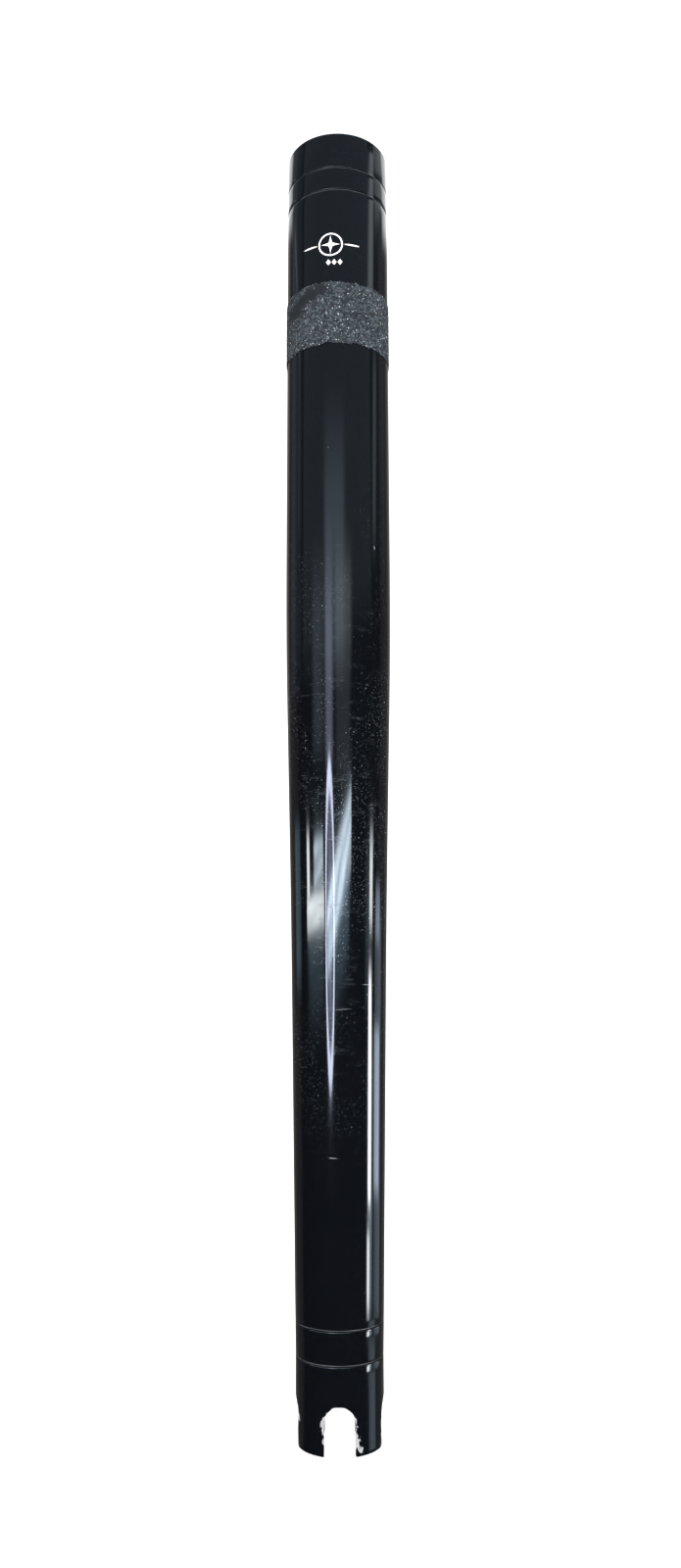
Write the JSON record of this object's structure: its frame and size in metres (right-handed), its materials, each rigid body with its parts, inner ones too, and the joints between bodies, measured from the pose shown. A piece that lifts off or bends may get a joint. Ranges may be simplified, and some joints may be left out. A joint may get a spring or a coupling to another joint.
{
  "type": "fishing rod butt",
  "caption": "Tapered black anodised tubular rod butt with a ferrule socket at the top, thin trim rings and crossed gimbal slots at the foot.",
  "frame": {"origin": "centre of the nock's lower end, in the plane that the four leg ends stand on", "axes": "+Z along the butt's axis, from the nock to the ferrule mouth; one slot lies along Y and the other along X"},
  "size_m": [0.0454, 0.0454, 0.54],
  "materials": {
    "black_anodise": "gloss black anodised, fine scratches and dust, worn bare at the slot edges",
    "bare_aluminium": "bored and honed, bare",
    "key_steel": "ground stainless key",
    "seal_rubber": "black nitrile",
    "plug_plastic": "black acetal",
    "grip_tape": "coarse grey grit with torn edges"
  },
  "bodies": {
    "root": {"butt_tube": "black_anodise", "ferrule_collar": "black_anodise", "upper_trim_ring": "black_anodise", "upper_seal_ring": "seal_rubber", "ferrule_socket": "bare_aluminium", "ferrule_index_key": "key_steel", "socket_bulkhead": "plug_plastic", "grip_tape_band": "grip_tape", "lower_trim_ring": "black_anodise", "lower_seal_ring": "seal_rubber", "gimbal_nock": "black_anodise", "nock_bulkhead": "plug_plastic"}
  },
  "joints": []
}
